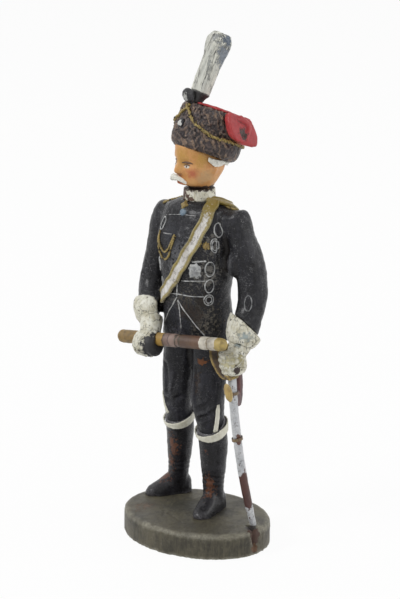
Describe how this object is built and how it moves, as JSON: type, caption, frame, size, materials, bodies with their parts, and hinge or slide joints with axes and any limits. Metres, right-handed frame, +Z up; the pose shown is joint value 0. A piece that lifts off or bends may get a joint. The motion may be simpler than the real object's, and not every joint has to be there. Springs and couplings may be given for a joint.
{
  "type": "toy soldier figure",
  "caption": "Painted composition toy soldier in hussar officer dress with a plumed fur cap, a baton in the right hand and a sabre at the left side, on an oval base.",
  "frame": {"origin": "middle of the flat underside of the oval base", "axes": "+Z up from the base to the plume, -Y to the front of the base, +X to the figure's left"},
  "size_m": [0.0265, 0.0204, 0.0844],
  "materials": {
    "base_paint": "worn grey-green paint on composition",
    "coat_paint": "worn black paint on composition",
    "boot_paint": "worn black paint on composition, chipped to red-brown",
    "breeches_paint": "worn blue-black paint on composition",
    "white_paint": "worn cream-white paint on composition",
    "flesh_paint": "flesh-coloured paint on composition",
    "hair_paint": "white paint on composition",
    "fur_paint": "dark brown-black paint with brown strokes on composition",
    "red_paint": "red paint on composition",
    "gold_paint": "gold-bronze paint on composition",
    "silver_paint": "silver paint on composition",
    "maroon_paint": "dark red paint on composition",
    "plume_paint": "cream-white paint with grey streaks on carved wood",
    "scabbard_metal": "silver-white paint on tin, chipped to brown",
    "baton_wood": "turned dowel, partly painted",
    "armature_wire": "plain drawn wire"
  },
  "bodies": {
    "figure": {"base": "base_paint", "left_leg_wire": "armature_wire", "right_leg_wire": "armature_wire", "spine_wire": "armature_wire", "shoulder_wire": "armature_wire", "left_boot": "boot_paint", "right_boot": "boot_paint", "left_boot_trim": "white_paint", "right_boot_trim": "white_paint", "left_breeches": "breeches_paint", "right_breeches": "breeches_paint", "tunic": "coat_paint", "collar": "white_paint", "left_sleeve": "coat_paint", "right_sleeve": "coat_paint", "left_gauntlet": "white_paint", "right_gauntlet": "white_paint", "left_hand": "white_paint", "right_hand": "white_paint", "shoulder_belt": "silver_paint", "cartridge_pouch": "coat_paint", "frogging": "silver_paint", "shoulder_cords": "gold_paint", "aiguillette": "gold_paint", "neck_order": "gold_paint", "breast_stars": "silver_paint", "scabbard": "scabbard_metal", "scabbard_bands": "gold_paint", "sabre_hilt": "gold_paint", "front_sling": "gold_paint", "rear_sling": "maroon_paint"},
    "head": {"head": "flesh_paint", "hair": "hair_paint", "moustache": "hair_paint", "busby": "fur_paint", "busby_bag": "red_paint", "cap_lines": "gold_paint", "cap_boss": "silver_paint", "field_badge": "fur_paint"},
    "plume": {"plume": "plume_paint", "plume_holder": "coat_paint", "plume_pin": "armature_wire"},
    "baton": {"baton": "baton_wood"}
  },
  "joints": [
    {"name": "head_turn", "type": "hinge", "parent": "figure", "child": "head", "pos_m": [-0.00097, 0.00241, 0.05845], "axis": [0, 0, 1], "range_deg": [-40, 40]},
    {"name": "plume_lift", "type": "slide", "parent": "head", "child": "plume", "axis": [0.1651, 0.389, 0.9063], "range_m": [0, 0.0035]},
    {"name": "baton_slide", "type": "slide", "parent": "figure", "child": "baton", "axis": [-0.9847, 0.1209, -0.1253], "range_m": [0, 0.014]}
  ]
}
